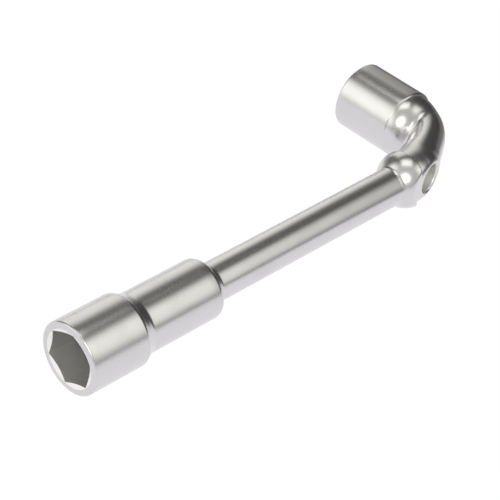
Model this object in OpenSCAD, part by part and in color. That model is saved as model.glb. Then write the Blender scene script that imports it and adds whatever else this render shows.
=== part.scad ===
// Angled socket wrench: a long shank with a six point socket at each end. The short socket stands square to the
// shank on a cranked elbow, and the boss of the elbow has a cross hole for a tommy bar.
// Lengths are in millimetres and angles in degrees. The shank runs along X, the short socket points along +Y, and
// the wrench lies flat, with its origin under the middle of its outline.

/* [Sockets] */
// Size across the flats of the bolt heads that both sockets turn
hex_size = 19; // [17:1:22]
// Play of the hexagons over that size
hex_play = 0.15; // [0.05:0.05:0.3]
// Wall of both socket heads at the corners of the hexagon
head_wall = 2.7; // [2.2:0.1:3.4]
// Width of the ledge behind the hexagon that stops the bolt head
stop_ledge = 1.1; // [0.7:0.1:1.6]
// Depth of the bevel that leads the bolt head into the hexagon
lead_depth = 0.7; // [0.3:0.1:1.2]
// Reach of the bevel past the corners of the hexagon
lead_reach = 0.1; // [0:0.05:0.4]
// Radius of the rounded outer edge round both mouths
rim_round = 0.8; // [0.3:0.1:1.2]
// Half of the point angle of the drill that made the bores
drill_half_angle = 59; // [45:1:70]

/* [Long socket] */
// Depth of the long socket's hexagon
long_hex_depth = 20; // [14:0.5:24]
// Turn of the long socket's hexagon round its axis
long_hex_turn = 37; // [0:1:59]
// Length of the long socket's head behind the hexagon
long_head_back = 5.4; // [3:0.1:9]
// Radius of the rounded edge at the back of the long socket's head
long_head_round = 1.5; // [0.5:0.1:1.6]

/* [Collar] */
// Length of the collar between the long socket's head and the shank
collar_len = 36.4; // [30:0.1:45]
// Wall of the collar round the stud bore
collar_wall = 3; // [2.6:0.1:3.6]
// Solid length between the tip of the stud bore and the shank
collar_floor = 6.7; // [4:0.1:12]
// Radius of the rounded edge at the back of the collar
collar_round = 2.6; // [1:0.1:3]
// Radius of the fillets where the collar and the shank begin
step_fillet = 0.6; // [0.3:0.1:0.9]

/* [Shank] */
// Diameter of the shank
shank_d = 14.9; // [13:0.1:17]
// Length of the shank from the collar to the ball
shank_len = 96.8; // [60:0.1:160]

/* [Boss] */
// Diameter of the ball that ends the shank
ball_d = 22.5; // [21.8:0.1:25]
// Step from the ball down to the barrel
ball_step = 0.45; // [0.2:0.05:0.8]
// Diameter of the tommy bar
bar_d = 11.5; // [10:0.1:12]
// Play of the cross hole over the tommy bar
bar_play = 0.5; // [0.2:0.1:0.8]
// Bevel round both ends of the cross hole
bar_bevel = 0.55; // [0.2:0.05:0.8]
// Wall of the boss round the cross hole
boss_wall = 4.1; // [3.6:0.1:5]
// Distance from the centre of the ball to the centre of the boss
boss_offset = 6.1; // [4:0.1:8]
// Turn of the boss and its cross hole from the line of the shank
boss_turn = 14.5; // [8:0.5:20]

/* [Neck] */
// Diameter of the neck where it leaves the boss
neck_d = 16.9; // [16:0.1:17.8]
// Turn of the neck from the line of the shank where it leaves the boss
neck_turn = 33.5; // [28:0.5:38]
// Diameter of the neck where it meets the short socket
neck_end_d = 22.8; // [21:0.1:24]
// Distance from the centre of the ball to the short socket's axis
elbow_reach = 27.7; // [26:0.1:34]

/* [Short socket] */
// Distance from the shank's axis to the short socket's mouth
short_reach = 50.3; // [46:0.1:70]
// Depth of the short socket's hexagon
short_hex_depth = 16; // [12:0.5:18]
// Turn of the short socket's hexagon round its axis
short_hex_turn = 30; // [0:1:59]
// Length of the clearance bore behind the short socket's hexagon
short_bore_len = 3; // [1:0.1:5]
// Length of the short socket's head behind the hexagon
short_head_back = 10; // [8:0.1:14]
// Length of the shoulder between the neck and the short socket's head
shoulder_len = 1.8; // [1:0.1:3]
// Radius of the rounded edge at the back of the short socket's head
short_head_round = 0.6; // [0.3:0.1:0.8]

/* [Hidden] */
$fn = 96;

// Sockets
hex_af = hex_size + hex_play;
hex_r = hex_af / sqrt(3);
head_r = hex_r + head_wall;
bore_r = hex_af / 2 - stop_ledge;
bore_tip = bore_r / tan(drill_half_angle);

// Stations along the shank, from the long socket's mouth
long_head_len = long_hex_depth + long_head_back;
collar_r = bore_r + collar_wall;
collar_end = long_head_len + collar_len;
stud_bore_depth = collar_end - collar_floor - bore_tip;
shank_r = shank_d / 2;
shank_end = collar_end + shank_len;

// Ball, barrel and boss
ball_r = ball_d / 2;
ball_x = shank_end + sqrt(ball_r * ball_r - shank_r * shank_r);
barrel_r = ball_r - ball_step;
bar_r = (bar_d + bar_play) / 2;
boss_r = bar_r + boss_wall;
boss_dir = [cos(boss_turn), sin(boss_turn)];
boss_mid = [ball_x, 0] + boss_offset * boss_dir;
bar_dir = [sin(boss_turn), -cos(boss_turn)];
rim_offset = sqrt(pow(boss_r, 2) - pow(bar_r + bar_bevel, 2));

// The neck leaves the boss on a flat face, square to the line of the boss and clear of the cross hole. The face
// stands where the outer side of the neck has come out of the round of the boss.
neck_r = neck_d / 2;
neck_dir = [cos(neck_turn), sin(neck_turn)];
neck_skew = neck_turn - boss_turn;
neck_exit = sqrt(boss_r * boss_r - neck_r * neck_r);
face_gap = 0.5;
face_offset = neck_exit * cos(neck_skew) + neck_r * sin(neck_skew) + face_gap;
face_mid = boss_mid + face_offset / cos(neck_skew) * neck_dir;
face_half = neck_r / cos(neck_skew);

// Short socket
short_x = ball_x + elbow_reach;
short_head_len = short_hex_depth + short_head_back;
neck_end_r = neck_end_d / 2;
neck_end_y = short_reach - short_head_len - shoulder_len;
neck_end_mid = [short_x, neck_end_y];

// Outer and inner edges of the neck in the plane of the elbow, and its half height, as curves from the boss to the
// short socket. A pull is the length of a curve's handle as a share of the straight line between its ends.
outer_start = face_mid + face_half * bar_dir;
outer_end = neck_end_mid + [neck_end_r, 0];
inner_start = face_mid - face_half * bar_dir;
inner_end = neck_end_mid - [neck_end_r, 0];
outer_span = norm(outer_end - outer_start);
inner_span = norm(inner_end - inner_start);
outer_pulls = [0.46, 0.37];
inner_pulls = [0.45, 0.3];
outer_edge = [
    outer_start,
    outer_start + outer_pulls[0] * outer_span * neck_dir,
    outer_end - [0, outer_pulls[1] * outer_span],
    outer_end
];
inner_edge = [
    inner_start,
    inner_start + inner_pulls[0] * inner_span * neck_dir,
    inner_end - [0, inner_pulls[1] * inner_span],
    inner_end
];
waist = 0.4;
swell = 1;
half_height = [neck_r, neck_r - waist, neck_end_r - swell, neck_end_r];
neck_rings = 24;
neck_sides = 40;

// Place of the shank's axis at the mouth, with the origin under the middle of the outline
place = [-(short_x + head_r) / 2, (head_r - short_reach) / 2, head_r];
over = 0.5;
cut_len = 2 * (boss_r + ball_r);

function curve(p, t) =
    pow(1 - t, 3) * p[0] + 3 * t * pow(1 - t, 2) * p[1] + 3 * t * t * (1 - t) * p[2] + pow(t, 3) * p[3];

function neck_ring(t) =
    let (outer = curve(outer_edge, t), inner = curve(inner_edge, t))
    let (mid = (outer + inner) / 2, half = (outer - inner) / 2, rise = curve(half_height, t))
    [for (k = [0 : neck_sides - 1])
        let (a = 360 * k / neck_sides, at = mid + cos(a) * half)
        [at.x, at.y, rise * sin(a)]];

// The part of a square that lies outside the quarter circle of a rounded edge
module edge_cut(r) {
    difference() {
        square(r + over);
        circle(r = r);
    }
}

// Half section of a ring that fillets a step, with its centre line on Y
module fillet_section(inner_r, r) {
    difference() {
        square([inner_r + r, r]);
        translate([inner_r + r, r]) circle(r = r);
    }
}

// Hexagon with its bevel, from a mouth at z = 0 into +Z
module hexagon_cut(depth, turn) {
    translate([0, 0, -over]) rotate(turn) cylinder(h = depth + over, r = hex_r, $fn = 6);
    cylinder(h = lead_depth, r1 = hex_r + lead_reach, r2 = hex_af / 2);
    translate([0, 0, -over]) cylinder(h = over, r = hex_r + lead_reach);
}

// Clearance bore with its drill tip, from a mouth at z = 0 into +Z
module bore_cut(depth) {
    translate([0, 0, over]) cylinder(h = depth - over, r = bore_r);
    translate([0, 0, depth]) cylinder(h = bore_tip, r1 = bore_r, r2 = 0);
}

// Turned head of a socket, from a mouth at z = 0 into +Z
module head_body(len, back_round) {
    rotate_extrude() difference() {
        square([head_r, len]);
        translate([head_r - rim_round, rim_round]) mirror([0, 1]) edge_cut(rim_round);
        translate([head_r - back_round, len - back_round]) edge_cut(back_round);
    }
}

module long_socket() {
    color([0.80, 0.80, 0.82]) translate(place) rotate([0, 90, 0]) difference() {
        head_body(long_head_len, long_head_round);
        hexagon_cut(long_hex_depth, 90 + long_hex_turn);
        bore_cut(stud_bore_depth);
    }
}

module long_collar() {
    fillet = min(step_fillet, head_r - collar_r - long_head_round);
    color([0.76, 0.76, 0.79]) translate(place) rotate([0, 90, 0]) difference() {
        translate([0, 0, long_head_len]) rotate_extrude() {
            fillet_section(collar_r, fillet);
            difference() {
                square([collar_r, collar_len]);
                translate([collar_r - collar_round, collar_len - collar_round]) edge_cut(collar_round);
            }
        }
        bore_cut(stud_bore_depth);
    }
}

module shank() {
    fillet = min(step_fillet, collar_r - shank_r - collar_round);
    color([0.72, 0.72, 0.75]) translate(place + [collar_end, 0, 0]) rotate([0, 90, 0]) rotate_extrude() {
        fillet_section(shank_r, fillet);
        square([shank_r, shank_len]);
    }
}

// The ball that ends the shank, up to its widest place, from the end of the shank into +Z
module half_ball() {
    rotate_extrude() difference() {
        translate([0, ball_x - shank_end]) circle(r = ball_r);
        translate([-cut_len, ball_x - shank_end]) square(2 * cut_len);
        translate([-cut_len, -cut_len]) square([2 * cut_len, cut_len]);
        translate([-cut_len, -cut_len]) square([cut_len, 2 * cut_len]);
    }
}

// The barrel inside the ball and the round of the boss that it runs into, along Z from the centre of the ball
module barrel() {
    rotate_extrude() difference() {
        union() {
            circle(r = barrel_r);
            polygon([[0, 0], [barrel_r, 0], [boss_r, boss_offset], [0, boss_offset]]);
            translate([0, boss_offset]) circle(r = boss_r);
        }
        translate([-cut_len, -cut_len]) square([cut_len, 2 * cut_len]);
        translate([-cut_len, -cut_len - barrel_r / 2]) square([2 * cut_len, cut_len]);
    }
}

// Cross hole for the tommy bar, along Z
module bar_cut() {
    cylinder(h = 2 * cut_len, r = bar_r, center = true);
    for (side = [0, 1]) mirror([0, 0, side]) {
        translate([0, 0, rim_offset - bar_bevel])
            cylinder(h = bar_bevel + over, r1 = bar_r, r2 = bar_r + bar_bevel + over);
        translate([0, 0, rim_offset + over]) cylinder(h = cut_len, r = bar_r + bar_bevel + over);
    }
}

module bar_boss() {
    color([0.82, 0.80, 0.78]) translate(place) difference() {
        union() {
            translate([shank_end, 0, 0]) rotate([0, 90, 0]) half_ball();
            translate([ball_x, 0, 0]) rotate([0, 90, boss_turn]) barrel();
            translate([boss_mid.x, boss_mid.y, 0]) rotate([0, 90, neck_turn])
                cylinder(h = 2 * face_offset, r = neck_r);
        }
        translate([boss_mid.x, boss_mid.y, 0]) rotate(boss_turn)
            translate([face_offset, -cut_len, -cut_len]) cube(2 * cut_len);
        translate([boss_mid.x, boss_mid.y, 0]) rotate([90, 0, boss_turn]) bar_cut();
    }
}

module neck() {
    rings = [for (i = [0 : neck_rings]) neck_ring(i / neck_rings)];
    last = neck_rings * neck_sides;
    sides = [for (i = [0 : neck_rings - 1], k = [0 : neck_sides - 1])
        let (a = i * neck_sides + k, b = i * neck_sides + (k + 1) % neck_sides)
        [a, b, b + neck_sides, a + neck_sides]];
    start_face = [for (k = [neck_sides - 1 : -1 : 0]) k];
    end_face = [for (k = [0 : neck_sides - 1]) last + k];
    color([0.78, 0.78, 0.80]) translate(place)
        polyhedron(points = [for (ring = rings) each ring], faces = concat([start_face, end_face], sides));
}

module short_socket() {
    back_r = head_r - short_head_round;
    color([0.84, 0.84, 0.86]) translate(place + [short_x, short_reach, 0]) rotate([90, 0, 0]) difference() {
        union() {
            head_body(short_head_len, short_head_round);
            translate([0, 0, short_head_len]) cylinder(h = shoulder_len, r1 = back_r, r2 = neck_end_r);
        }
        hexagon_cut(short_hex_depth, short_hex_turn);
        bore_cut(short_hex_depth + short_bore_len);
    }
}

long_socket();
long_collar();
shank();
bar_boss();
neck();
short_socket();
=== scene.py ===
"""Angled socket wrench in satin chrome: turned sockets and shank, a forged elbow, and a plain studio round them."""

import logging
import math
from collections.abc import Callable, Sequence
from dataclasses import dataclass, field
from enum import Enum

import bpy
import numpy as np
from mathutils import Matrix, Vector


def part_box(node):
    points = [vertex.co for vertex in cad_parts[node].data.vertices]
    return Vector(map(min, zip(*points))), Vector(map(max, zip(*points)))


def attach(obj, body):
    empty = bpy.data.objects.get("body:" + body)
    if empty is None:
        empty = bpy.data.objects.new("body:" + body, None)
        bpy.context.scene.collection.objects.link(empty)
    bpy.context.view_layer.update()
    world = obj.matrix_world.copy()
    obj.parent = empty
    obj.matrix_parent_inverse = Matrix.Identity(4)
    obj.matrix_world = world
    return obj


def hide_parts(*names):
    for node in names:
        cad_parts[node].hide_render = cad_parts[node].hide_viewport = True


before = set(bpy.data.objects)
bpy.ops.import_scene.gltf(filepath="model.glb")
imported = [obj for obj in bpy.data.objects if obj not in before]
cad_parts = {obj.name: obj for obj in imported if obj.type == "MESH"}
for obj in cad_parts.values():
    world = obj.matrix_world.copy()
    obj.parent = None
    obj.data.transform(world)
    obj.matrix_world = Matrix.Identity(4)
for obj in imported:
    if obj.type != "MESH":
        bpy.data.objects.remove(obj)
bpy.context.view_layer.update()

log = logging.getLogger("wrench")

MM = 0.001
WHITE = (1.0, 1.0, 1.0)
# Edges that turn more than this stay sharp, in degrees
SHARP_TURNED = 28.0
SHARP_FORGED = 40.0
# A turned outline closer to the axis than this ends in a single point, in millimetres
ON_AXIS = 1e-6
# Keeps a divisor or a root from reaching zero
LEAST = 1e-6
# Sockets of a Mix node that blends colours
MIX_FACTOR, MIX_UNDER, MIX_COVER, MIX_RESULT = 0, 6, 7, 2


class Finish(Enum):
    """The two finishes of the wrench: satin chrome, and a rougher chrome for the bores whose brighter tint is painted
    light that lifts their shade.
    """

    SATIN = "wrench_satin"
    BORE = "wrench_bore"


class Heading(Enum):
    """The two lines that turned pieces stand on: along the shank, and along the short socket."""

    SHANK = "shank"
    SHORT = "short"


class LightShape(Enum):
    """The two outlines of a softbox."""

    RECTANGLE = "RECTANGLE"
    ELLIPSE = "ELLIPSE"


class Value:
    """A number socket of a shader, with the operators that the finishes use."""

    def __init__(self, graph: "Graph", socket: bpy.types.NodeSocket) -> None:
        """Keeps an output socket that gives a number, and the graph that it belongs to."""
        self.graph = graph
        self.socket = socket

    def _math(self, operation: str, first: "Value | float", second: "Value | float") -> "Value":
        """Adds a Math node for that operation and returns its result."""
        return self.graph.node("ShaderNodeMath", {"operation": operation}, {0: first, 1: second}).value("Value")

    def __add__(self, other: "Value | float") -> "Value":
        """Returns self + other."""
        return self._math("ADD", self, other)

    __radd__ = __add__

    def __sub__(self, other: "Value | float") -> "Value":
        """Returns self - other."""
        return self._math("SUBTRACT", self, other)

    def __rsub__(self, other: "Value | float") -> "Value":
        """Returns other - self."""
        return self._math("SUBTRACT", other, self)

    def __mul__(self, other: "Value | float") -> "Value":
        """Returns self * other."""
        return self._math("MULTIPLY", self, other)

    __rmul__ = __mul__

    def smooth(self, low: float, high: float) -> "Value":
        """Rises smoothly from 0 at low to 1 at high.

        Args:
            low: Where the rise starts.
            high: Where it ends.

        Returns:
            The eased value.
        """
        settings = {"interpolation_type": "SMOOTHSTEP"}
        inputs = {"Value": self, "From Min": low, "From Max": high}
        return self.graph.node("ShaderNodeMapRange", settings, inputs).value("Result")


class Placed:
    """A node in a graph, whose outputs are fetched by name."""

    def __init__(self, graph: "Graph", node: bpy.types.Node) -> None:
        """Keeps a node and the graph that it belongs to."""
        self.graph = graph
        self.node = node

    def out(self, name: str | int) -> bpy.types.NodeSocket:
        """Returns the output socket of that name or number."""
        return self.node.outputs[name]

    def value(self, name: str | int) -> Value:
        """Returns the output of that name or number as a number."""
        return Value(self.graph, self.node.outputs[name])


class Graph:
    """A node tree under construction."""

    def __init__(self, tree: bpy.types.NodeTree) -> None:
        """Empties the node tree of a material or of the world, and keeps it."""
        self.tree = tree
        tree.nodes.clear()

    def node(self, kind: str, settings: dict[str, object] | None = None,
             inputs: dict[str | int, object] | None = None) -> Placed:
        """Adds a node.

        Args:
            kind: The node's type.
            settings: Its settings, which are set before its sockets.
            inputs: What each input socket holds: a value, a Value or an output socket.

        Returns:
            The node.
        """
        made = self.tree.nodes.new(kind)
        for name, setting in (settings or {}).items():
            setattr(made, name, setting)
        for name, held in (inputs or {}).items():
            source = held.socket if isinstance(held, Value) else held
            if isinstance(source, bpy.types.NodeSocket):
                self.tree.links.new(source, made.inputs[name])
            else:
                made.inputs[name].default_value = source
        return Placed(self, made)

    def blend(self, mask: "Value | float", under: object, cover: object) -> bpy.types.NodeSocket:
        """Lays one colour over another.

        Args:
            mask: Where the cover shows.
            under: The colour underneath, as three numbers or an output socket.
            cover: The colour over it.

        Returns:
            The blended colour.
        """
        pair = [(*c, 1.0) if isinstance(c, tuple) else c for c in (under, cover)]
        made = self.node("ShaderNodeMix", {"data_type": "RGBA"}, {
            MIX_FACTOR: mask, MIX_UNDER: pair[0], MIX_COVER: pair[1]})
        return made.out(MIX_RESULT)


@dataclass(frozen=True)
class ChromeFinish:
    """Satin chrome plate over blasted steel.

    Args:
        name: Name of the material.
        tint: Colour of the plate.
        tint_worn: Colour of its duller patches.
        roughness: Roughness of the plate.
        roughness_spread: How far the roughness strays in patches.
        grain_mm: Size of the blasted grain.
        grain_depth: Strength of the grain's bump.
        grain_height_mm: Height of the grain.
        patch_mm: Size of the duller patches.
        smear_mm: Size of the smears left by handling.
        worn_from: Level of the patches' noise where the duller colour starts.
        worn_to: Level where it is full.
    """

    name: str
    tint: tuple[float, float, float]
    tint_worn: tuple[float, float, float]
    roughness: float
    roughness_spread: float
    grain_mm: float
    grain_depth: float
    grain_height_mm: float = 0.02
    patch_mm: float = 14.0
    smear_mm: float = 3.0
    worn_from: float = 0.42
    worn_to: float = 0.72

    def material(self) -> bpy.types.Material:
        """Builds the material.

        Returns:
            A metal with a fine grain, soft patches and a trace of handling.
        """
        made = bpy.data.materials.new(self.name)
        made.use_nodes = True
        graph = Graph(made.node_tree)
        place = graph.node("ShaderNodeTexCoord").out("Object")
        patches = graph.node("ShaderNodeTexNoise", {}, {
            "Vector": place, "Scale": 1 / (self.patch_mm * MM), "Detail": 3.0, "Roughness": 0.55}).value("Fac")
        smears = graph.node("ShaderNodeTexNoise", {}, {
            "Vector": place, "Scale": 1 / (self.smear_mm * MM), "Detail": 2.0, "Roughness": 0.6}).value("Fac")
        grain = graph.node("ShaderNodeTexNoise", {}, {
            "Vector": place, "Scale": 1 / (self.grain_mm * MM), "Detail": 2.0, "Roughness": 0.5}).value("Fac")
        worn = patches.smooth(self.worn_from, self.worn_to)
        colour = graph.blend(worn, self.tint, self.tint_worn)
        stray = (patches - 0.5) * (2 * self.roughness_spread) + (smears - 0.5) * self.roughness_spread
        bump = graph.node("ShaderNodeBump", {}, {
            "Strength": self.grain_depth, "Distance": self.grain_height_mm * MM, "Height": grain})
        shader = graph.node("ShaderNodeBsdfPrincipled", {}, {
            "Base Color": colour, "Metallic": 1.0, "Roughness": stray + self.roughness,
            "Normal": bump.out("Normal")})
        graph.node("ShaderNodeOutputMaterial", {}, {"Surface": shader.out("BSDF")})
        return made


FINISHES = {
    Finish.SATIN: ChromeFinish(
        Finish.SATIN.value, tint=(0.645, 0.622, 0.645), tint_worn=(0.62, 0.60, 0.62), roughness=0.27,
        roughness_spread=0.02, grain_mm=0.3, grain_depth=0.12),
    # The bore finish is rougher than the satin, and its tint is brighter than the plate's: painted light that lifts
    # the shaded inside of the bores.
    Finish.BORE: ChromeFinish(
        Finish.BORE.value, tint=(0.88, 0.87, 0.86), tint_worn=(0.80, 0.79, 0.78), roughness=0.40,
        roughness_spread=0.05, grain_mm=0.4, grain_depth=0.3),
}


@dataclass(frozen=True)
class Datum:
    """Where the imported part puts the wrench, in millimetres.

    Args:
        origin: Centre of the long mouth, in the part's own frame.
        head_r: Radius of both heads.
        long_head_end: Back of the long head, from the long mouth.
        collar_end: Back of the collar, from the long mouth.
        shank_end: End of the shank, from the long mouth.
        short_x: The short socket's axis, from the long mouth.
        short_reach: The short mouth, from the shank's axis.
        neck_end_y: Where the neck meets the short socket, from the shank's axis.
    """

    origin: np.ndarray
    head_r: float
    long_head_end: float
    collar_end: float
    shank_end: float
    short_x: float
    short_reach: float
    neck_end_y: float

    @classmethod
    def from_frame(cls) -> "Datum":
        """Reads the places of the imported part's nodes.

        Returns:
            The datum of this part.
        """
        head_lo, head_hi = (np.array(c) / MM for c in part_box("long_socket"))
        short_lo, short_hi = (np.array(c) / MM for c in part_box("short_socket"))
        middle = (head_lo + head_hi) / 2
        origin = np.array([head_lo[0], middle[1], middle[2]])
        return cls(
            origin=origin,
            head_r=(head_hi[1] - head_lo[1]) / 2,
            long_head_end=head_hi[0] - head_lo[0],
            collar_end=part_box("long_collar")[1][0] / MM - origin[0],
            shank_end=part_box("shank")[1][0] / MM - origin[0],
            short_x=(short_lo[0] + short_hi[0]) / 2 - origin[0],
            short_reach=short_hi[1] - origin[1],
            neck_end_y=short_lo[1] - origin[1],
        )

    def to_row(self, points: np.ndarray) -> np.ndarray:
        """Moves points from the wrench's own millimetres, from the long mouth's centre, to the part's metres."""
        return (points + self.origin) * MM


@dataclass(frozen=True)
class Knot:
    """A corner of a turned outline.

    Args:
        along: Place along the axis.
        radius: Distance from the axis.
        round: Radius that rounds the corner, or fills it where it is hollow.
    """

    along: float
    radius: float
    round: float = 0.0


def outline(knots: Sequence[Knot], steps: int = 10, reach: float = 3.0,
            straight: float = 1e-3) -> list[tuple[float, float]]:
    """Draws a turned outline through its corners.

    Args:
        knots: The corners, in order.
        steps: Steps on each rounded corner.
        reach: Longest straight stretch between two points.
        straight: A corner that is this close to a straight angle isn't rounded, in radians.

    Returns:
        Points along the outline, as (along, radius).
    """
    corners = [Vector((k.along, k.radius)) for k in knots]
    drawn: list[Vector] = [corners[0]]
    for before, knot, here, after in zip(corners, knots[1:-1], corners[1:], corners[2:]):
        to_before, to_after = (before - here).normalized(), (after - here).normalized()
        half = to_before.angle(to_after) / 2
        if knot.round <= 0 or half > math.pi / 2 - straight:
            drawn.append(here)
            continue
        centre = here + (to_before + to_after).normalized() * (knot.round / math.sin(half))
        tangent = knot.round / math.tan(half)
        start, end = here + to_before * tangent - centre, here + to_after * tangent - centre
        turn = start.angle(end)
        for i in range(steps + 1):
            share = i / steps
            drawn.append(centre + (start * math.sin((1 - share) * turn) + end * math.sin(share * turn))
                         / math.sin(turn))
    drawn.append(corners[-1])
    points: list[tuple[float, float]] = []
    for a, b in zip(drawn, drawn[1:]):
        count = max(1, math.ceil((b - a).length / reach))
        points += [tuple(a.lerp(b, i / count)) for i in range(count)]
    return [*points, tuple(drawn[-1])]


@dataclass
class Surface:
    """Points and faces of a piece under construction, with the finish of each face.

    Args:
        points: Groups of points.
        faces: Numbers of each face's points.
        inner: True for each face that lies inside a bore.
        count: How many points there are.
    """

    points: list[np.ndarray] = field(default_factory=list)
    faces: list[list[int]] = field(default_factory=list)
    inner: list[bool] = field(default_factory=list)
    count: int = 0

    def add_ring(self, ring: np.ndarray) -> np.ndarray:
        """Adds a ring of points, or a single one.

        Args:
            ring: The points.

        Returns:
            Their numbers.
        """
        self.points.append(ring)
        numbers = np.arange(self.count, self.count + len(ring))
        self.count += len(ring)
        return numbers

    def skin(self, a: np.ndarray, b: np.ndarray, inner: bool) -> None:
        """Closes the band between two rings.

        Args:
            a: Numbers of the first ring, or of a single point.
            b: Numbers of the second one.
            inner: True if the band lies inside a bore.
        """
        size = max(len(a), len(b))
        for i in range(size):
            j = (i + 1) % size
            if len(a) == 1:
                face = [a[0], b[j], b[i]]
            elif len(b) == 1:
                face = [a[i], a[j], b[0]]
            else:
                face = [a[i], a[j], b[j], b[i]]
            self.faces.append([int(n) for n in face])
            self.inner.append(inner)

    def to_object(self, name: str, datum: Datum, sharp_degrees: float) -> bpy.types.Object:
        """Makes the piece.

        Args:
            name: Name of the piece.
            datum: Where the wrench stands.
            sharp_degrees: Edges that turn more than this stay sharp.

        Returns:
            The piece, smooth shaded, in satin chrome with its bores in the rougher finish, whose brighter tint paints
            light into them.
        """
        mesh = bpy.data.meshes.new(name)
        mesh.from_pydata([tuple(p) for p in datum.to_row(np.concatenate(self.points))], [], self.faces)
        for finish in Finish:
            mesh.materials.append(bpy.data.materials[finish.value])
        mesh.polygons.foreach_set("material_index", [int(i) for i in self.inner])
        mesh.shade_smooth()
        mesh.set_sharp_from_angle(angle=math.radians(sharp_degrees))
        mesh.update()
        mesh.validate()
        piece = bpy.data.objects.new(name, mesh)
        bpy.context.scene.collection.objects.link(piece)
        return piece


@dataclass
class Hexagon:
    """A six point hole with a bevelled mouth.

    Args:
        across: Size across the flats.
        depth: Depth of the flats.
        turn: Turn of the corners round the axis, in degrees.
        lead_r: Radius of the bevel at the mouth.
        lead_slope: Depth that the bevel gains for each millimetre that it closes in.
        corner_round: Radius in the corners.
    """

    across: float = 19.15
    depth: float = 20.0
    turn: float = 37.0
    lead_r: float = 11.16
    lead_slope: float = 0.45
    corner_round: float = 0.35

    def radius(self, angle: np.ndarray) -> np.ndarray:
        """Gives the distance of the hexagon's wall from the axis.

        Args:
            angle: Angles round the axis, in radians.

        Returns:
            The distance at each angle.
        """
        half = self.across / 2
        sixth = math.radians(60)
        off_flat = np.mod(angle - math.radians(self.turn), sixth) - sixth / 2
        flat = half / np.cos(off_flat)
        corner = half / math.cos(sixth / 2)
        inset = corner - self.corner_round / math.cos(sixth / 2)
        off_corner = sixth / 2 - np.abs(off_flat)
        reach = np.sqrt(np.maximum(self.corner_round ** 2 - (inset * np.sin(off_corner)) ** 2, 0))
        rounded = inset * np.cos(off_corner) + reach
        near = inset * np.sin(off_corner) < self.corner_round * math.sin(sixth / 2)
        return np.where(near, np.minimum(flat, rounded), flat)


@dataclass
class Turned:
    """A turned piece that stands for one node.

    Args:
        datum: Where the wrench stands.
        name: Name of the piece.
        node: The node that the piece stands for.
        heading: The axis that it stands on.
        knots: Corners of its outline.
        sides: Points round the axis.
    """

    datum: Datum
    name: str
    node: str
    heading: Heading
    knots: list[Knot]
    sides: int = field(default=240, kw_only=True)

    def angles(self) -> np.ndarray:
        """Returns the angles of the points round the axis."""
        return np.arange(self.sides) * (2 * math.pi / self.sides)

    def stand(self, local: np.ndarray) -> np.ndarray:
        """Stands points that were turned about Z on the piece's axis.

        Args:
            local: Points with Z along the axis, from the socket's mouth.

        Returns:
            Points in the wrench's own millimetres.
        """
        x, y, z = local[:, 0], local[:, 1], local[:, 2]
        if self.heading is Heading.SHANK:
            return np.stack([z, x, y], axis=1)
        return np.stack([self.datum.short_x + x, self.datum.short_reach - z, y], axis=1)

    def ring(self, surface: Surface, along: np.ndarray | float, radius: np.ndarray | float) -> np.ndarray:
        """Adds a ring of points.

        Args:
            surface: The surface that it becomes part of.
            along: Depth of the ring, or of each of its points.
            radius: Radius of the ring, or of each of its points.

        Returns:
            The points' numbers.
        """
        angle = self.angles()
        r = np.broadcast_to(radius, angle.shape)
        z = np.broadcast_to(along, angle.shape)
        return surface.add_ring(self.stand(np.stack([r * np.cos(angle), r * np.sin(angle), z], axis=1)))

    def pole(self, surface: Surface, along: float) -> np.ndarray:
        """Adds a point on the axis and returns its number."""
        return surface.add_ring(self.stand(np.array([[0.0, 0.0, along]])))

    def dress(self, piece: bpy.types.Object) -> None:
        """Rides the piece on the wrench and lets it stand for its node.

        Args:
            piece: The piece.
        """
        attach(piece, "root")
        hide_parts(self.node)


@dataclass
class SocketHead(Turned):
    """The head of a socket: a turned outside, a bevelled six point mouth and a bore behind it.

    Its knots run along its outside, from the mouth's face to its back.

    Args:
        hexagon: Its six point hole.
        bore_r: Radius of the bore behind the hexagon.
        bore_end: Depth of the bore, or None where it runs out at the back.
        drill_half_angle: Half of the point angle of the drill that made the bore, in degrees.
        edge_depth: Depth of the bevel between the hexagon's flats and the ledge behind them.
        edge_inset: How far that bevel closes in.
        lip: Bevel between the ledge and the bore.
        wall_shares: Places of the rings along the flats, as shares of their depth.
    """

    hexagon: Hexagon
    bore_r: float = 8.475
    bore_end: float | None = None
    drill_half_angle: float = 59.0
    edge_depth: float = 0.3
    edge_inset: float = 0.25
    lip: float = 0.1
    wall_shares: tuple[float, ...] = (0.0, 0.02, 0.1, 0.3, 0.6, 0.9)

    def build(self) -> bpy.types.Object:
        """Builds the head.

        Returns:
            The piece.
        """
        surface = Surface()
        hexagon = self.hexagon
        wall = hexagon.radius(self.angles())
        lead = (hexagon.lead_r - wall) * hexagon.lead_slope
        rings = [(self.ring(surface, along, radius), False) for along, radius in outline(self.knots)]
        back_along = self.knots[-1].along
        edge = hexagon.depth - self.edge_depth
        ledge = [(edge, wall), (hexagon.depth, wall - self.edge_inset), (hexagon.depth, self.bore_r + self.lip),
                 (hexagon.depth + self.lip, self.bore_r)]
        inner = [(self.ring(surface, lead + share * (edge - lead), wall), True) for share in self.wall_shares]
        inner += [(self.ring(surface, along, radius), True) for along, radius in ledge]
        if self.bore_end is None:
            inner.append((self.ring(surface, back_along, self.bore_r), True))
            loop = [*reversed(rings), *inner]
            loop.append(loop[0])
        else:
            tip = self.bore_r / math.tan(math.radians(self.drill_half_angle))
            inner.append((self.ring(surface, self.bore_end, self.bore_r), True))
            inner.append((self.pole(surface, self.bore_end + tip), True))
            loop = [(self.pole(surface, back_along), False), *reversed(rings), *inner]
        for (a, _), (b, is_inner) in zip(loop, loop[1:]):
            surface.skin(b, a, is_inner)
        return surface.to_object(self.name, self.datum, SHARP_TURNED)


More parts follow.
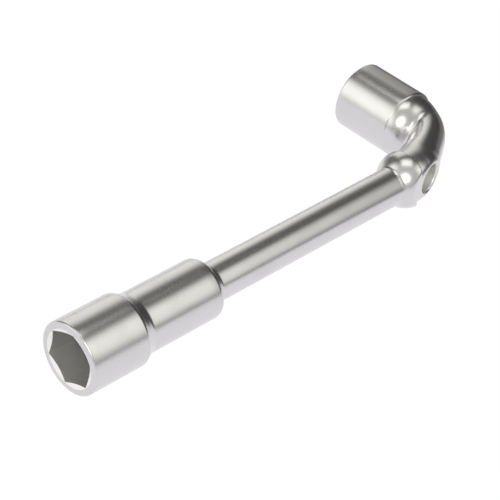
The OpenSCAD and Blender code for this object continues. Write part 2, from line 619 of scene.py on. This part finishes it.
@dataclass
class TurnedSection(Turned):
    """A turned section of the long side, whose knots run round its half outline from the axis to the axis."""

    def build(self) -> bpy.types.Object:
        """Builds the section.

        Returns:
            The piece.
        """
        surface = Surface()
        rings = [self.pole(surface, along) if radius < ON_AXIS else self.ring(surface, along, radius)
                 for along, radius in outline(self.knots)]
        for a, b in zip(rings, rings[1:]):
            surface.skin(a, b, inner=False)
        return surface.to_object(self.name, self.datum, SHARP_TURNED)


@dataclass
class LongSide:
    """The turned long side: the head with its mouth, the collar round the stud bore, and the shank.

    Args:
        datum: Where the wrench stands.
        rim_round: Rounding of the mouth's outer edge.
        head_back: Distance from the head's end to where its outside turns in.
        head_round: Rounding of that turn.
        seam_at: Distance from the head's end to the seam with the collar.
        seam_r: Radius of that seam.
        step_end: Distance from the head's end to where the step runs out into the collar.
        step_round: Hollow rounding there.
        collar_r: Radius of the collar.
        collar_round: Rounding of its back edge.
        bore_r: Radius of the stud bore.
        bore_len: Length of the bore behind the head.
        bore_tip: Length of the drill point beyond it.
        shank_r: Radius of the shank.
        foot_r: Radius that the shank starts with at the collar.
        foot_len: Length over which it narrows from there.
        foot_round: Hollow rounding where it is down to its own radius.
    """

    datum: Datum
    rim_round: float = 0.8
    head_back: float = 1.4
    head_round: float = 2.4
    seam_at: float = 0.3
    seam_r: float = 12.75
    step_end: float = 3.0
    step_round: float = 3.4
    collar_r: float = 11.475
    collar_round: float = 2.6
    bore_r: float = 8.475
    bore_len: float = 24.6
    bore_tip: float = 5.09
    shank_r: float = 7.45
    foot_r: float = 8.87
    foot_len: float = 2.2
    foot_round: float = 2.6

    def head(self) -> SocketHead:
        """Describes the long head.

        Returns:
            The head, ready to build.
        """
        end, head_r = self.datum.long_head_end, self.datum.head_r
        hexagon = Hexagon()
        return SocketHead(
            self.datum, "long_socket_head", "long_socket", Heading.SHANK,
            [Knot(0.0, hexagon.lead_r), Knot(0.0, head_r, self.rim_round),
             Knot(end - self.head_back, head_r, self.head_round), Knot(end + self.seam_at, self.seam_r)],
            hexagon, self.bore_r)

    def collar(self) -> TurnedSection:
        """Describes the collar.

        Returns:
            The collar, ready to build.
        """
        end, back = self.datum.long_head_end, self.datum.collar_end
        bore_end = end + self.bore_len
        return TurnedSection(
            self.datum, "stud_collar", "long_collar", Heading.SHANK,
            [Knot(bore_end + self.bore_tip, 0.0), Knot(bore_end, self.bore_r), Knot(end + self.seam_at, self.bore_r),
             Knot(end + self.seam_at, self.seam_r), Knot(end + self.step_end, self.collar_r, self.step_round),
             Knot(back, self.collar_r, self.collar_round), Knot(back, 0.0)])

    def shank(self) -> TurnedSection:
        """Describes the shank.

        Returns:
            The shank, ready to build.
        """
        start, end = self.datum.collar_end, self.datum.shank_end
        return TurnedSection(
            self.datum, "round_shank", "shank", Heading.SHANK,
            [Knot(start, 0.0), Knot(start, self.foot_r), Knot(start + self.foot_len, self.shank_r, self.foot_round),
             Knot(end, self.shank_r), Knot(end, 0.0)])


@dataclass
class ShortSide:
    """The turned short socket, which stands square to the shank.

    Args:
        datum: Where the wrench stands.
        rim_round: Rounding of both edges of its outside.
        back: Distance from its node's end to the back of its outside.
        seam_at: Distance from its node's end to the seam with the elbow.
        seam_r: Radius of that seam.
        hex_depth: Depth of its hexagon.
        hex_turn: Turn of its hexagon, in degrees.
        bore_end: Depth of the bore behind the hexagon.
    """

    datum: Datum
    rim_round: float = 0.8
    back: float = 1.8
    seam_at: float = 0.9
    seam_r: float = 11.4
    hex_depth: float = 16.0
    hex_turn: float = 30.0
    bore_end: float = 19.0

    def head(self) -> SocketHead:
        """Describes the short head.

        Returns:
            The head, ready to build.
        """
        end, head_r = self.datum.short_reach - self.datum.neck_end_y, self.datum.head_r
        hexagon = Hexagon(depth=self.hex_depth, turn=self.hex_turn)
        return SocketHead(
            self.datum, "short_socket_head", "short_socket", Heading.SHORT,
            [Knot(0.0, hexagon.lead_r), Knot(0.0, head_r, self.rim_round),
             Knot(end - self.back, head_r, self.rim_round), Knot(end - self.seam_at, self.seam_r)],
            hexagon, bore_end=self.bore_end)


def smooth_union(a: np.ndarray, b: np.ndarray, reach: float) -> np.ndarray:
    """Joins two solids, given by their signed distances, with a fillet of that reach."""
    h = np.maximum(reach - np.abs(a - b), 0) / reach
    return np.minimum(a, b) - h * h * reach / 4


def smooth_cut(a: np.ndarray, b: np.ndarray, reach: float) -> np.ndarray:
    """Cuts the second solid out of the first one and rounds the edge over that reach."""
    return -smooth_union(-a, b, reach)


def round_cone(p: np.ndarray, a: np.ndarray, b: np.ndarray, ra: float, rb: float) -> np.ndarray:
    """Measures the distance to two balls and the cone that wraps them.

    Args:
        p: Points.
        a: Centre of the first ball.
        b: Centre of the second one.
        ra: Radius of the first ball.
        rb: Radius of the second one.

    Returns:
        Signed distances.
    """
    axis = b - a
    length = float(np.linalg.norm(axis))
    unit = axis / length
    slope = (ra - rb) / length
    rise = math.sqrt(max(1 - slope * slope, LEAST))
    rel = p - a
    z = rel @ unit
    r = np.sqrt(np.maximum((rel * rel).sum(axis=-1) - z * z, 0))
    share = np.clip((z + r * slope / rise) / length, 0, 1)
    return np.sqrt(r * r + (z - share * length) ** 2) - (ra + share * (rb - ra))


def net(solid: Callable[[np.ndarray], np.ndarray], low: np.ndarray, high: np.ndarray,
        step: float) -> tuple[np.ndarray, np.ndarray]:
    """Nets the surface of a solid that is given by its signed distance.

    Args:
        solid: The signed distance at an array of points.
        low: Lowest corner of the net's box.
        high: Highest corner.
        step: Size of the mesh.

    Returns:
        Points on the surface, and the four points of each face.
    """
    axes = [np.arange(low[i], high[i] + step, step) for i in range(3)]
    shape = tuple(len(a) for a in axes)
    grid = np.stack(np.meshgrid(*axes, indexing="ij"), axis=-1)
    dist = np.empty(shape)
    for i in range(shape[0]):
        dist[i] = solid(grid[i])
    inside = dist < 0
    cells = tuple(n - 1 for n in shape)
    total = np.zeros((*cells, 3))
    crossings = np.zeros(cells, dtype=int)
    corners = [(i, j, k) for i in (0, 1) for j in (0, 1) for k in (0, 1)]

    def part(array: np.ndarray, corner: tuple[int, int, int]) -> np.ndarray:
        """Returns the array at one corner of every cell."""
        return array[tuple(slice(c, c + n) for c, n in zip(corner, cells))]

    for first in corners:
        for axis in range(3):
            if first[axis]:
                continue
            second = tuple(c + (i == axis) for i, c in enumerate(first))
            d0, d1 = part(dist, first), part(dist, second)
            cross = part(inside, first) != part(inside, second)
            share = np.where(cross, d0 / np.where(cross, d0 - d1, 1), 0)
            at = np.array(first, dtype=float) * np.ones((*cells, 3))
            at[..., axis] += share
            total += at * cross[..., None]
            crossings += cross
    used = crossings > 0
    number = np.full(cells, -1)
    number[used] = np.arange(int(used.sum()))
    cell = np.stack(np.nonzero(used), axis=1)
    points = np.array([a[0] for a in axes]) + step * (cell + total[used] / crossings[used][:, None])
    faces = []
    for axis in range(3):
        u, v = (axis + 1) % 3, (axis + 2) % 3
        here = [slice(1, n - 1) for n in shape]
        here[axis] = slice(0, shape[axis] - 1)
        ahead = list(here)
        ahead[axis] = slice(1, shape[axis])
        start, end = inside[tuple(here)], inside[tuple(ahead)]
        for forward in (True, False):
            flip = start & ~end if forward else end & ~start
            at = np.stack(np.nonzero(flip), axis=1)
            at[:, u] += 1
            at[:, v] += 1
            quad = []
            for du, dv in ((0, 0), (1, 0), (1, 1), (0, 1)):
                c = at.copy()
                c[:, u] -= 1 - du
                c[:, v] -= 1 - dv
                quad.append(number[tuple(c.T)])
            faces.append(np.stack(quad if forward else quad[::-1], axis=1))
    return points, np.concatenate(faces)


def settle(points: np.ndarray, solid: Callable[[np.ndarray], np.ndarray], rounds: int = 4,
           span: float = 0.02, least: float = 0.25) -> np.ndarray:
    """Moves points onto the surface of a solid.

    Args:
        points: Points close to the surface.
        solid: The signed distance at an array of points.
        rounds: How often the points move.
        span: Distance over which the slope is measured.
        least: Least squared slope that a move trusts.

    Returns:
        The points on the surface.
    """
    moved = points.copy()
    for _ in range(rounds):
        dist = solid(moved)
        slope = np.stack([(solid(moved + span * e) - solid(moved - span * e)) / (2 * span)
                          for e in np.eye(3)], axis=1)
        size = np.maximum((slope * slope).sum(axis=1), least)
        moved -= (dist / size)[:, None] * slope
    return moved


@dataclass
class Elbow:
    """The forged elbow: ball, boss with its cross hole, neck, and the dome that closes the short socket.

    Args:
        datum: Where the wrench stands.
        name: Name of the piece.
        shank_r: Radius of the shank.
        ball_r: Radius of the ball that ends the shank.
        ball_set: Distance from the ball's rim to the ball's centre.
        rim_at: Distance from the end of the shank to the ball's rim.
        rim_edge: Rounding of the ball's rim.
        stub_len: Length of the stub that stands inside the shank.
        stub_play: How much thinner than the shank that stub is.
        stub_gap: Distance from the stub's inner end to the ball's centre.
        boss_r: Radii of the boss, at the ball and at its own centre.
        boss_reach: How far the boss is drawn out along the cross hole.
        boss_offset: Distance from the rim of the ball to the centre of the boss.
        boss_turn: Turn of the boss from the line of the shank, in degrees.
        bar_r: Radius of the cross hole.
        bar_edge: Rounding of its rims.
        bore_band: How far past the cross hole's radius the bore finish goes, rougher and with light painted into its
            tint.
        face_at: Distance from the centre of the boss to the flat round the cross hole.
        face_edge: Rounding of that flat's border.
        neck_path: Places along the neck with its half width there.
        neck_half: Half height of the neck.
        dome_at: Centre of the dome.
        dome_r: Radius of the dome round the short socket's axis.
        dome_deep: Its half depth along that axis.
        overlap: How far the dome stands inside the short socket.
        ball_fillet: Radius of the hollow fillet between shank and ball.
        root_fillet: Reach of the fillet between neck and boss.
        dome_fillet: Reach of the fillet between neck and dome.
        step: Size of the mesh.
        margin: Room round the elbow in the box that it is netted in.
        box_reach: How far that box reaches over the shank, and past the short socket, besides the margin.
    """

    datum: Datum
    name: str = "elbow"
    shank_r: float = 7.45
    ball_r: float = 11.35
    ball_set: float = 0.3
    rim_at: float = 8.43
    rim_edge: float = 0.3
    stub_len: float = 14.0
    stub_play: float = 0.01
    stub_gap: float = 1.0
    boss_r: tuple[float, float] = (9.8, 9.6)
    boss_reach: float = 2.0
    boss_offset: float = 6.1
    boss_turn: float = 14.5
    bar_r: float = 6.0
    bar_edge: float = 0.9
    bore_band: float = 0.1
    face_at: float = 7.8
    face_edge: float = 1.2
    neck_path: tuple[tuple[float, float, float], ...] = (
        (170.0, 0.8, 9.5), (172.9, 1.6, 9.4), (178.2, 3.6, 8.6), (184.0, 6.3, 7.5), (189.2, 9.2, 7.1),
        (193.4, 12.4, 7.3), (196.3, 16.2, 7.9), (197.6, 20.8, 9.2), (197.6, 26.0, 10.2))
    neck_half: float = 9.8
    dome_at: tuple[float, float] = (194.2, 24.7)
    dome_r: float = 13.0
    dome_deep: float = 10.8
    overlap: float = 2.6
    ball_fillet: float = 2.5
    root_fillet: float = 2.0
    dome_fillet: float = 2.5
    step: float = 0.35
    margin: float = 1.0
    box_reach: tuple[float, float] = (8.0, 1.0)

    def __post_init__(self) -> None:
        """Works out the places of the ball, of the boss and along the neck."""
        turn = math.radians(self.boss_turn)
        self.rim_x = self.datum.shank_end + self.rim_at
        self.boss_dir = np.array([math.cos(turn), math.sin(turn), 0.0])
        self.boss = np.array([self.rim_x, 0.0, 0.0]) + self.boss_offset * self.boss_dir
        self.bar_dir = np.array([math.sin(turn), -math.cos(turn), 0.0])
        self.stations = self.neck_stations()

    def neck_stations(self, steps: int = 4) -> np.ndarray:
        """Draws a smooth line through the places of the neck.

        Args:
            steps: Steps between two places.

        Returns:
            Places along the neck, as (x, y, half width).
        """
        knots = np.array(self.neck_path)
        knots = np.concatenate([[2 * knots[0] - knots[1]], knots, [2 * knots[-1] - knots[-2]]])
        drawn = []
        for p0, p1, p2, p3 in zip(knots, knots[1:], knots[2:], knots[3:]):
            for i in range(steps):
                t = i / steps
                drawn.append(0.5 * (2 * p1 + (p2 - p0) * t + (2 * p0 - 5 * p1 + 4 * p2 - p3) * t ** 2
                                    + (3 * p1 - p0 - 3 * p2 + p3) * t ** 3))
        return np.array([*drawn, knots[-2]])

    def half_ball(self, p: np.ndarray) -> np.ndarray:
        """Measures the distance to the ball up to its rim, with the hollow fillet that leads in from the shank.

        Args:
            p: Points in the wrench's own millimetres.

        Returns:
            Signed distances.
        """
        x = p[..., 0] - self.rim_x - self.ball_set
        off = np.sqrt(p[..., 1] ** 2 + p[..., 2] ** 2)
        stub_half = self.stub_len / 2
        stub = np.maximum(off - (self.shank_r - self.stub_play), np.abs(x + stub_half + self.stub_gap) - stub_half)
        ball = np.sqrt(x * x + off * off) - self.ball_r
        hollow_off = self.shank_r + self.ball_fillet
        hollow_x = math.sqrt((self.ball_r + self.ball_fillet) ** 2 - hollow_off ** 2)
        hollow = self.ball_fillet - np.sqrt((x + hollow_x) ** 2 + (off - hollow_off) ** 2)
        reach = math.hypot(hollow_x, hollow_off)
        side = (x * hollow_off + off * hollow_x) / reach
        fillet = np.maximum(np.maximum(hollow, side), -x - hollow_x)
        fillet = np.maximum(fillet, off - hollow_off)
        return np.minimum(smooth_cut(np.minimum(ball, fillet), -x - self.ball_set, self.rim_edge), stub)

    def neck(self, p: np.ndarray) -> np.ndarray:
        """Measures the distance to the neck, an oval rod of even height.

        Args:
            p: Points in the wrench's own millimetres.

        Returns:
            Signed distances, true near the surface.
        """
        near = np.full(p.shape[:-1], np.inf)
        width = np.ones(p.shape[:-1])
        for (ax, ay, ra), (bx, by, rb) in zip(self.stations, self.stations[1:]):
            reach = (bx - ax) ** 2 + (by - ay) ** 2
            share = np.clip(((p[..., 0] - ax) * (bx - ax) + (p[..., 1] - ay) * (by - ay)) / reach, 0, 1)
            half = ra + share * (rb - ra)
            off = np.hypot(p[..., 0] - ax - share * (bx - ax), p[..., 1] - ay - share * (by - ay)) / half
            width = np.where(off < near, half, width)
            near = np.minimum(near, off)
        high = p[..., 2] / self.neck_half
        level = np.hypot(near, high)
        slope = np.maximum(np.hypot(near / width, high / self.neck_half), LEAST)
        return level * (level - 1) / slope

    def dome(self, p: np.ndarray) -> np.ndarray:
        """Measures the distance to the dome, an egg that is flatter along the short socket.

        Args:
            p: Points in the wrench's own millimetres.

        Returns:
            Signed distances, true near the surface.
        """
        rel = p - np.array([*self.dome_at, 0.0])
        half = np.array([self.dome_r, self.dome_deep, self.dome_r])
        level = np.linalg.norm(rel / half, axis=-1)
        slope = np.maximum(np.linalg.norm(rel / half ** 2, axis=-1), LEAST)
        return level * (level - 1) / slope

    def solid(self, p: np.ndarray) -> np.ndarray:
        """Measures the distance to the whole elbow.

        Args:
            p: Points in the wrench's own millimetres.

        Returns:
            Signed distances.
        """
        rel = p - self.boss
        along = rel @ self.bar_dir
        across = np.sqrt(np.maximum((rel * rel).sum(axis=-1) - along * along, 0))
        rim = np.array([self.rim_x, 0.0, 0.0])
        boss = round_cone(p, rim, self.boss + self.boss_reach * self.bar_dir, *self.boss_r)
        body = smooth_union(self.neck(p), self.dome(p), self.dome_fillet)
        body = smooth_union(boss, body, self.root_fillet)
        body = np.minimum(body, self.half_ball(p))
        body = smooth_cut(body, self.face_at - along, self.face_edge)
        body = np.maximum(body, p[..., 1] - self.datum.neck_end_y - self.overlap)
        return smooth_cut(body, across - self.bar_r, self.bar_edge)

    def build(self) -> bpy.types.Object:
        """Builds the elbow.

        Returns:
            The piece.
        """
        over_shank, past_head = self.box_reach
        low = np.array([self.datum.shank_end - over_shank, -self.ball_r, -self.datum.head_r]) - self.margin
        high = np.array([self.datum.short_x + self.datum.head_r + past_head, self.datum.neck_end_y + self.overlap,
                         self.datum.head_r]) + self.margin
        points, faces = net(self.solid, low, high, self.step)
        points = settle(points, self.solid)
        middle = points[faces].mean(axis=1) - self.boss
        along = middle @ self.bar_dir
        across = np.sqrt(np.maximum((middle * middle).sum(axis=-1) - along * along, 0))
        inner = (across < self.bar_r + self.bore_band).tolist()
        surface = Surface(points=[points], faces=faces.tolist(), inner=inner, count=len(points))
        return surface.to_object(self.name, self.datum, SHARP_FORGED)

    def dress(self, piece: bpy.types.Object) -> None:
        """Rides the piece on the wrench and lets it stand for its nodes.

        Args:
            piece: The piece.
        """
        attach(piece, "root")
        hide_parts("bar_boss", "neck")


@dataclass(frozen=True)
class Softbox:
    """A soft light that is aimed at the elbow.

    Args:
        name: Name of the light.
        towards: Direction from the elbow to the light.
        distance: Distance from the elbow, in metres.
        size: Width, and depth away from the camera, in metres.
        radiance: How bright it looks in a perfect mirror.
        shape: Its outline.
    """

    name: str
    towards: tuple[float, float, float]
    distance: float
    size: tuple[float, float]
    radiance: float
    shape: LightShape = LightShape.RECTANGLE

    def energy(self) -> float:
        """Returns the power, in watts, that gives the light its radiance."""
        share = math.pi / 4 if self.shape is LightShape.ELLIPSE else 1.0
        return 4 * self.radiance * self.size[0] * self.size[1] * share


@dataclass(frozen=True)
class RoomLevels:
    """How bright each side of the room looks in the wrench.

    Args:
        base: Everything that isn't named here.
        front: The side that the camera looks towards.
        wall: The pale wall behind the wrench.
        ceiling: The dark ceiling beyond it.
        side: The dark gap at the camera's left.
        screen: The tall white screens on both sides.
        flag: The black flag at the far end.
        horizon: Share of its brightness that the room keeps just over the floor.
    """

    base: float = 0.62
    front: float = 0.42
    wall: float = 1.12
    ceiling: float = 0.06
    side: float = 0.12
    screen: float = 1.55
    flag: float = 0.06
    horizon: float = 0.6


@dataclass
class Studio:
    """A pale floor, soft light from all sides and the camera.

    The room is described from the camera: ahead is the level direction that it looks in, right is to its right.

    Args:
        datum: Where the wrench stands.
        azimuth: Turn of the camera round the wrench, in degrees.
        elevation: Height of the camera over the wrench, in degrees.
        roll: Roll of the camera, in degrees.
        distance: Distance of the camera from what it aims at, in millimetres.
        aim: What it aims at, on the shank's level.
        lens: Focal length, in millimetres.
        sensor: Width of the sensor, in millimetres.
        clip: Nearest and farthest that the camera sees, in metres.
        warm: Colour of the room's light.
        levels: How bright each side of the room is.
        floor_half: Half of the floor's width, in metres.
        floor_dark: Colour that the floor past the far end of the wrench shows in its reflections.
        floor_end: Where along the part's X that colour starts, and where it is full, in metres.
        softboxes: The soft lights.
    """

    datum: Datum
    azimuth: float = -48.69
    elevation: float = 37.97
    roll: float = 6.94
    distance: float = 713.0
    aim: tuple[float, float] = (89.07, 4.93)
    lens: float = 143.22
    sensor: float = 36.0
    clip: tuple[float, float] = (0.01, 20.0)
    warm: tuple[float, float, float] = (1.0, 1.02, 0.94)
    levels: RoomLevels = RoomLevels()
    floor_half: float = 6.0
    floor_dark: tuple[float, float, float] = (0.20, 0.19, 0.19)
    floor_end: tuple[float, float] = (0.110, 0.150)
    softboxes: tuple[Softbox, ...] = (
        Softbox("overhead", (0.10, 0.17, 0.98), distance=3.0, size=(1.9, 1.5), radiance=1.15),
        Softbox("beside_camera", (-0.65, -0.48, 0.588), distance=0.9, size=(0.54, 0.54), radiance=2.4,
                shape=LightShape.ELLIPSE))

    def across(self) -> Vector:
        """Returns the level direction to the camera's right."""
        a = math.radians(self.azimuth)
        return Vector((math.cos(a), math.sin(a), 0.0))

    def camera(self) -> None:
        """Sets the camera at the photograph's angle."""
        a, e = math.radians(self.azimuth), math.radians(self.elevation)
        back = Vector((math.sin(a) * math.cos(e), -math.cos(a) * math.cos(e), math.sin(e)))
        level = self.across()
        rise = back.cross(level)
        r = math.radians(self.roll)
        right = level * math.cos(r) + rise * math.sin(r)
        up = rise * math.cos(r) - level * math.sin(r)
        data = bpy.data.cameras.new("camera")
        data.sensor_width = self.sensor
        data.lens = self.lens
        data.clip_start, data.clip_end = self.clip
        camera = bpy.data.objects.new("camera", data)
        place = Vector(self.datum.to_row(np.array([self.aim[0], self.aim[1], 0.0]))) + back * (self.distance * MM)
        camera.matrix_world = Matrix.Translation(place) @ Matrix((right, up, back)).transposed().to_4x4()
        bpy.context.scene.collection.objects.link(camera)
        bpy.context.scene.camera = camera

    def hang(self, softbox: Softbox) -> None:
        """Hangs a soft light.

        Args:
            softbox: The light.
        """
        data = bpy.data.lights.new(softbox.name, "AREA")
        data.shape = softbox.shape.value
        data.size, data.size_y = softbox.size
        data.energy = softbox.energy()
        data.color = self.warm
        light = bpy.data.objects.new(softbox.name, data)
        light.visible_camera = False
        back = Vector(softbox.towards).normalized()
        level = self.across()
        right = (level - back * level.dot(back)).normalized()
        elbow = Vector(self.datum.to_row(np.array([self.datum.shank_end, 0.0, 0.0])))
        turn = Matrix((right, back.cross(right), back)).transposed().to_4x4()
        light.matrix_world = Matrix.Translation(elbow + back * softbox.distance) @ turn
        bpy.context.scene.collection.objects.link(light)

    def floor(self) -> None:
        """Lays the pale floor."""
        mesh = bpy.data.meshes.new("floor")
        half = self.floor_half
        mesh.from_pydata([(-half, -half, 0), (half, -half, 0), (half, half, 0), (-half, half, 0)], [], [(0, 1, 2, 3)])
        made = bpy.data.materials.new("pale_floor")
        made.use_nodes = True
        graph = Graph(made.node_tree)
        place = graph.node("ShaderNodeTexCoord").out("Object")
        split = graph.node("ShaderNodeSeparateXYZ", {}, {"Vector": place})
        seen = graph.node("ShaderNodeLightPath").value("Is Camera Ray")
        end = split.value("X").smooth(*self.floor_end)
        colour = graph.blend(end * (1 - seen), WHITE, self.floor_dark)
        shader = graph.node("ShaderNodeBsdfPrincipled", {}, {
            "Base Color": (0.02, 0.02, 0.02, 1.0), "Roughness": 0.9, "Specular IOR Level": 0.0,
            "Emission Color": colour, "Emission Strength": 1.0})
        graph.node("ShaderNodeOutputMaterial", {}, {"Surface": shader.out("BSDF")})
        mesh.materials.append(made)
        floor = bpy.data.objects.new("floor", mesh)
        bpy.context.scene.collection.objects.link(floor)

    def world(self) -> None:
        """Lights the room: a pale wall behind the wrench, a dark ceiling, and a tall white screen on each side.

        The numbers that a side fades between are direction cosines.
        """
        world = bpy.data.worlds.new("studio")
        bpy.context.scene.world = world
        world.use_nodes = True
        graph = Graph(world.node_tree)
        direction = graph.node("ShaderNodeTexCoord").out("Generated")
        split = graph.node("ShaderNodeSeparateXYZ", {}, {"Vector": direction})
        x, y, z = (split.value(axis) for axis in "XYZ")
        to_right = self.across()

        def along(vector: Sequence[float]) -> Value:
            """Returns how far the direction points along a vector."""
            return graph.node("ShaderNodeVectorMath", {"operation": "DOT_PRODUCT"}, {
                0: direction, 1: tuple(vector)}).value("Value")

        right = along(to_right)
        ahead = along((-to_right.y, to_right.x, 0.0))
        ceiling = z.smooth(0.60, 0.76) * ahead.smooth(-0.05, 0.25)
        side = (0 - right).smooth(0.40, 0.52) * ahead.smooth(0.0, 0.3)
        wall = y.smooth(0.40, 0.76) * (1 - side)
        front = ahead.smooth(0.1, 0.4)
        right_screen = right.smooth(0.38, 0.66) * z.smooth(0.05, 0.38) * (1 - x.smooth(0.545, 0.665))
        right_screen = right_screen * ahead.smooth(-0.30, -0.12)
        left_screen = (0 - right).smooth(0.46, 0.78) * z.smooth(0.02, 0.36) * (1 - ahead.smooth(0.1, 0.4))
        flag = x.smooth(0.62, 0.76) * (1 - y.smooth(0.35, 0.60)) * (1 - z.smooth(0.70, 0.88))
        horizon = (1 - y.smooth(0.0, 0.4)) * (1 - z.smooth(0.04, 0.18))
        levels = self.levels
        level = self.over(levels.base, levels.front, front)
        level = self.over(level, levels.wall, wall)
        level = self.over(level, levels.ceiling, ceiling)
        level = self.over(level, levels.side, side * z.smooth(0.1, 0.3))
        level = self.over(level, levels.screen, right_screen)
        level = self.over(level, levels.screen, left_screen)
        level = self.over(level, levels.flag, flag)
        level = self.over(level, level * levels.horizon, horizon)
        seen = graph.node("ShaderNodeLightPath").value("Is Camera Ray")
        lit = graph.node("ShaderNodeVectorMath", {"operation": "SCALE"}, {0: self.warm, "Scale": level})
        shown = graph.blend(seen, lit.out("Vector"), WHITE)
        background = graph.node("ShaderNodeBackground", {}, {"Color": shown, "Strength": 1.0})
        graph.node("ShaderNodeOutputWorld", {}, {"Surface": background.out("Background")})

    @staticmethod
    def over(under: Value | float, cover: Value | float, mask: Value) -> Value:
        """Returns one brightness with another laid over it where the mask is 1."""
        return (1 - mask) * under + mask * cover

    def build(self) -> None:
        """Builds the studio."""
        bpy.context.scene.view_settings.view_transform = "Standard"
        self.world()
        self.floor()
        for softbox in self.softboxes:
            self.hang(softbox)
        self.camera()


def main() -> None:
    """Builds the wrench piece by piece, then the studio."""
    logging.basicConfig(level=logging.INFO, format="%(name)s: %(message)s")
    for chrome in FINISHES.values():
        chrome.material()
    datum = Datum.from_frame()
    long_side, short_side = LongSide(datum), ShortSide(datum)
    for section in (long_side.head(), long_side.collar(), long_side.shank(), short_side.head(), Elbow(datum)):
        piece = section.build()
        section.dress(piece)
        log.info("built %s with %d faces", piece.name, len(piece.data.polygons))
    Studio(datum).build()


if __name__ == "__main__":
    main()
